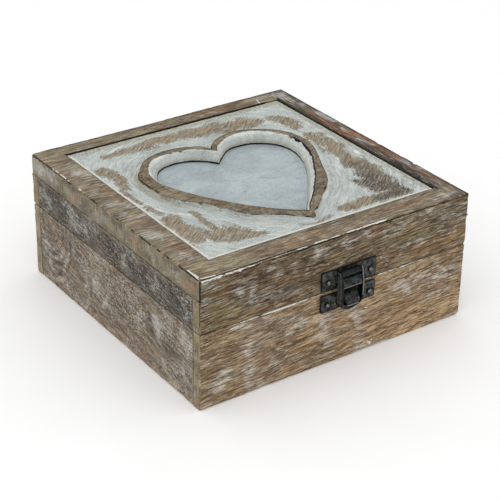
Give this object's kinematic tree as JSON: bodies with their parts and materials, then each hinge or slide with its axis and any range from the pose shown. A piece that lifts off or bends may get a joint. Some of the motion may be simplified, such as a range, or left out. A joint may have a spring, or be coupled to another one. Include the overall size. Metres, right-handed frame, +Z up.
{
  "type": "wooden keepsake box",
  "caption": "Square hinged wooden box, empty inside, with a carved heart recess in its lid, worn white wash and a hasp latch.",
  "frame": {"origin": "middle of the underside", "axes": "+X runs along the front towards its right end, +Y from the front to the back, +Z up"},
  "size_m": [0.18, 0.187, 0.0785],
  "materials": {
    "base_wood": "worn tan wood with white wash left in the grain",
    "lid_wood": "sanded brown wood with white wash left in the grain",
    "floor_wood": "plain unpainted wood",
    "painted_wood": "chalky white paint, sanded through to the wood",
    "pale_board": "matte pale blue-grey paint",
    "dark_metal": "dark antique bronze with worn bright edges"
  },
  "bodies": {
    "base": {"base_front_board": "base_wood", "base_back_board": "base_wood", "base_left_board": "base_wood", "base_right_board": "base_wood", "base_bottom_board": "floor_wood", "latch_lower_plate": "dark_metal", "latch_screw_3": "dark_metal", "latch_screw_4": "dark_metal", "hinge_left_lower_leaf": "dark_metal", "hinge_left_pin": "dark_metal", "hinge_left_screw_1": "dark_metal", "hinge_left_screw_2": "dark_metal", "hinge_right_lower_leaf": "dark_metal", "hinge_right_pin": "dark_metal", "hinge_right_screw_1": "dark_metal", "hinge_right_screw_2": "dark_metal"},
    "lid": {"lid_front_board": "lid_wood", "lid_back_board": "lid_wood", "lid_left_board": "lid_wood", "lid_right_board": "lid_wood", "lid_top_frame": "lid_wood", "heart_panel": "painted_wood", "heart_backing_board": "pale_board", "latch_upper_plate": "dark_metal", "latch_pin": "dark_metal", "latch_screw_1": "dark_metal", "latch_screw_2": "dark_metal", "hinge_left_upper_leaf": "dark_metal", "hinge_left_screw_3": "dark_metal", "hinge_left_screw_4": "dark_metal", "hinge_right_upper_leaf": "dark_metal", "hinge_right_screw_3": "dark_metal", "hinge_right_screw_4": "dark_metal"},
    "hasp": {"latch_hasp": "dark_metal"}
  },
  "joints": [
    {"name": "lid_hinge", "type": "hinge", "parent": "base", "child": "lid", "pos_m": [0, 0.089, 0.0464], "axis": [-1, 0, 0], "range_deg": [0, 105]},
    {"name": "hasp_pivot", "type": "hinge", "parent": "lid", "child": "hasp", "pos_m": [0.0047, -0.0927, 0.056], "axis": [-1, 0, 0], "range_deg": [0, 160]}
  ]
}
